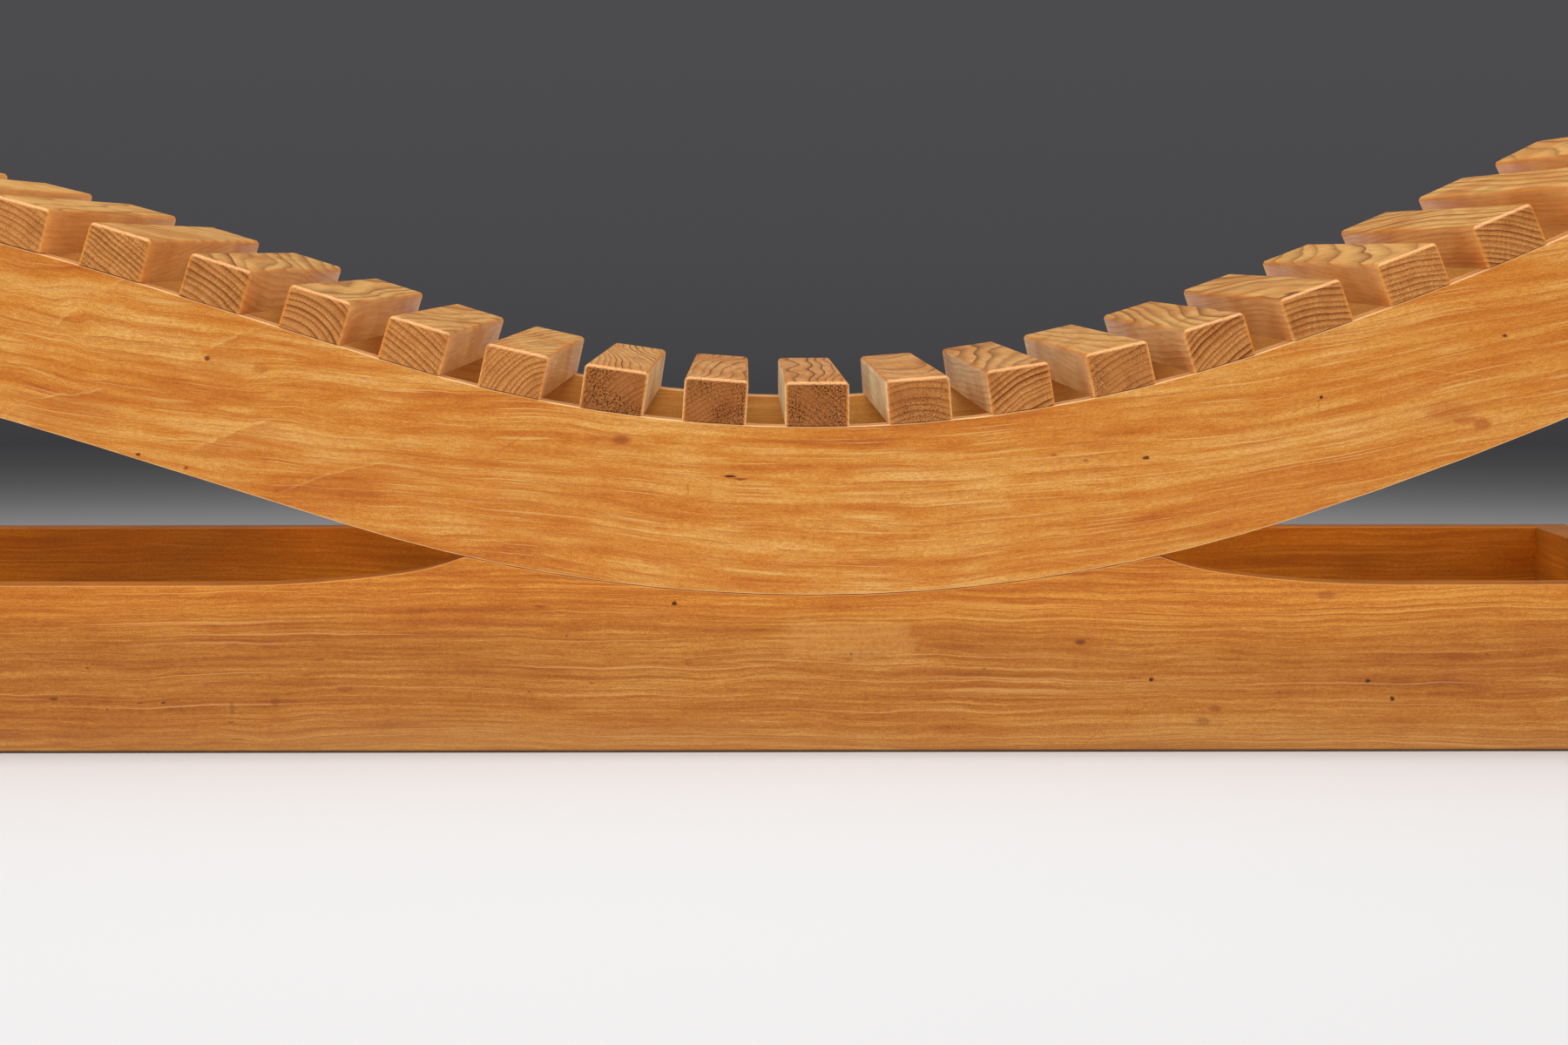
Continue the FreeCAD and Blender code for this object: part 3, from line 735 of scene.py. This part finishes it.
def rubbed_patch(tree, colour, place):
    """Pale patch with frayed edges on the near base rail, under the middle of the seat."""
    fraying = tree.noise(place, (60.0, 60.0, 160.0), detail=3.0, colour=True)
    frayed = tree.vector("MULTIPLY_ADD", fraying, RUBBED_FRAYING, place)
    offset = tree.vector("DIVIDE", tree.vector("SUBTRACT", frayed, RUBBED_MIDDLE), RUBBED_HALF_SIZES)
    square = tree.split(tree.vector("MULTIPLY", offset, offset))
    patch = tree.steps(tree.math("MAXIMUM", square[0], square[2]), 1.2, 0.75)
    hatched = tree.noise(place, (300.0, 300.0, 260.0), detail=4.0, roughness=0.6)
    rubbed = tree.math("MULTIPLY", patch, tree.steps(hatched, 0.3, 0.66, 0.16, 0.42))
    behind_face = tree.math("ADD", tree.split(place)[1], OUTER_FACE)
    near = tree.steps(behind_face, RUBBED_DEPTH, RUBBED_FULL_DEPTH)
    return tree.mix(tree.math("MULTIPLY", rubbed, near), colour, RUBBED)


def base_material(name, crosswise=False):
    """Straight, dense grain with thin pale lines, browner than the seat; it can run across the chair."""
    material, tree = new_material(name)
    where = tree.add("ShaderNodeTexCoord").outputs
    place = where["Object"]
    x, y, z = tree.split(place)[0:3]
    along, through = (y, x) if crosswise else (x, y)
    board = tree.join(along, through, z)
    drift = tree.noise(board, (2.2, 7.0, 9.0), detail=2.0)
    ripple = tree.noise(board, (16.0, 9.0, 40.0), detail=2.0)
    depth = tree.math("MULTIPLY_ADD", drift, BASE_DRIFT, z)
    depth = tree.math("MULTIPLY_ADD", ripple, BASE_RIPPLE, depth)
    flow = tree.join(along, through, depth)
    colour, rough, height = board_figure(tree, where, flow, BASE_LOOK, axis=int(crosswise))

    # Warmer under the seat, greyed by shoes and mops towards the floor
    zone = tree.math("MULTIPLY_ADD", drift, ZONE_DRIFT, z)
    colour = tree.tinted(colour, tree.steps(zone, WARM_START, WARM_FULL), WARM_TINT)
    colour = tree.mix(tree.steps(zone, SCUFF_START, SCUFF_FULL, 0.0, 0.3), colour, SCUFF)
    # Faces that look into the base get painted shade: a redder tint and darker and paler blotches
    if crosswise:
        from_middle = tree.math("ABSOLUTE", tree.math("SUBTRACT", x, BASE_MIDDLE))
        colour = base_inside_shade(tree, colour, board, from_middle, BASE_HALF, END_INSIDE_SHADE_TINT)
    else:
        colour = base_inside_shade(tree, colour, board, tree.math("ABSOLUTE", y), OUTER_FACE, RAIL_INSIDE_SHADE_TINT)
    colour = rubbed_patch(tree, colour, place)
    colour = scratched(tree, colour, place, BASE_SCRATCH_LENGTH, BASE_SCRATCHES)
    # Painted contact shadow along the bottom few millimetres of the base
    colour = tree.mix(tree.steps(z, CONTACT_SHADOW_TOP, CONTACT_SHADOW_FULL, 0.0, 0.9), colour, CONTACT_SHADOW)
    lacquered(tree, colour, rough, height, BOARD_RELIEF)
    return material


def beech_material():
    """Pale beech of the dowels."""
    material, tree = new_material("dowel_beech")
    place = tree.add("ShaderNodeTexCoord").outputs["Object"]
    fleck = tree.noise(place, (500.0, 500.0, 60.0), detail=3.0)
    colour = tree.ramp(fleck, [(0.3, BEECH[0]), (0.7, BEECH[1])])
    lacquered(tree, colour, tree.math("MULTIPLY_ADD", fleck, 0.2, 0.5), fleck, DOWEL_RELIEF)
    return material


def steel_material():
    """Turned zinc-grey steel of the cleat screws."""
    material, tree = new_material("screw_steel")
    place = tree.add("ShaderNodeTexCoord").outputs["Object"]
    turned = tree.noise(place, (900.0, 4000.0, 900.0), detail=2.0)
    colour = tree.ramp(turned, [(0.3, STEEL[0]), (0.7, STEEL[1])])
    shader = tree.add("ShaderNodeBsdfPrincipled")
    tree.put(colour, shader.inputs["Base Color"])
    tree.put(tree.math("MULTIPLY_ADD", turned, 0.2, 0.25), shader.inputs["Roughness"])
    shader.inputs["Metallic"].default_value = 1.0
    output = tree.add("ShaderNodeOutputMaterial")
    tree.put(shader.outputs[0], output.inputs[0])
    return material


def dress(material, *names):
    """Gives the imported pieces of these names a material."""
    for name in names:
        nodes[name].material_slots[0].material = material


def floor():
    """Pale round floor that fades out into the backdrop."""
    bpy.ops.mesh.primitive_circle_add(
        vertices=FLOOR_CORNERS, radius=FLOOR_RADIUS, fill_type="NGON", location=FLOOR_MIDDLE)
    disc = bpy.context.object
    disc.name = "floor"
    material, tree = new_material("floor_paper")
    place = tree.add("ShaderNodeTexCoord").outputs["Object"]
    shader = tree.add("ShaderNodeBsdfDiffuse")
    shader.inputs["Color"].default_value = FLOOR_COLOUR
    clear = tree.add("ShaderNodeBsdfTransparent")
    blend = tree.add("ShaderNodeMixShader")
    tree.put(tree.steps(tree.vector("LENGTH", place), FLOOR_FADE_START, FLOOR_FADE_END), blend.inputs[0])
    tree.put(shader.outputs[0], blend.inputs[1])
    tree.put(clear.outputs[0], blend.inputs[2])
    output = tree.add("ShaderNodeOutputMaterial")
    tree.put(blend.outputs[0], output.inputs[0])
    disc.data.materials.append(material)


def backdrop():
    """Even soft light from all round; the camera and reflections see a plain grey backdrop."""
    world = bpy.data.worlds.new("studio")
    world.use_nodes = True
    bpy.context.scene.world = world
    world.node_tree.nodes.clear()
    tree = Tree(world.node_tree)
    rise = tree.split(tree.add("ShaderNodeTexCoord").outputs["Generated"])[2]
    level = tree.ramp(tree.steps(rise, BACKDROP_LOWEST, BACKDROP_HIGHEST, smooth=False), BACKDROP_LEVELS)
    tint = tree.mix(tree.steps(rise, TINT_CHANGE_START, TINT_CHANGE_END), LOWER_TINT, UPPER_TINT)
    path = tree.add("ShaderNodeLightPath").outputs
    seen = tree.math("MAXIMUM", path["Is Camera Ray"], path["Is Glossy Ray"])
    light = tree.add("ShaderNodeBackground")
    tree.put(tree.mix(seen, AMBIENT_LIGHT, tree.vector("MULTIPLY", level, tint)), light.inputs["Color"])
    output = tree.add("ShaderNodeOutputWorld")
    tree.put(light.outputs[0], output.inputs[0])


def softbox(name, place, target, width, height, power):
    """Rectangular area lamp that faces a point."""
    data = bpy.data.lights.new(name, "AREA")
    data.shape = "RECTANGLE"
    data.size = width
    data.size_y = height
    data.energy = power
    lamp = bpy.data.objects.new(name, data)
    lamp.location = place
    lamp.rotation_euler = (Vector(target) - Vector(place)).to_track_quat("-Z", "Y").to_euler()
    bpy.context.scene.collection.objects.link(lamp)


def camera():
    """The photograph's camera."""
    data = bpy.data.cameras.new("camera")
    data.lens = LENS_MM
    data.sensor_width = SENSOR_MM
    view = bpy.data.objects.new("camera", data)
    view.location = CAMERA_PLACE
    view.rotation_euler = (math.pi / 2 - CAMERA_PITCH, 0.0, -CAMERA_YAW)
    bpy.context.scene.collection.objects.link(view)
    bpy.context.scene.camera = view


bpy.context.scene.view_settings.view_transform = "Standard"
figure_group = slat_figure()
for slat_index, slat_name in enumerate(SLAT_NAMES):
    dress(slat_material(slat_index, figure_group), slat_name)
dress(seat_rail_material(), "seat_rail_left", "seat_rail_right")
base_pine = base_material("base_pine")
dress(base_pine, "base_rail_left", "base_rail_right", "saddle_guide_left", "saddle_guide_right")
dress(base_material("base_end_pine", crosswise=True), "base_end_head", "base_end_foot")
dress(beech_material(), "slat_dowels_left", "slat_dowels_right", "base_dowels")
dress(steel_material(), "guide_screws")

floor()
backdrop()
for settings in SOFTBOXES:
    softbox(*settings)
camera()
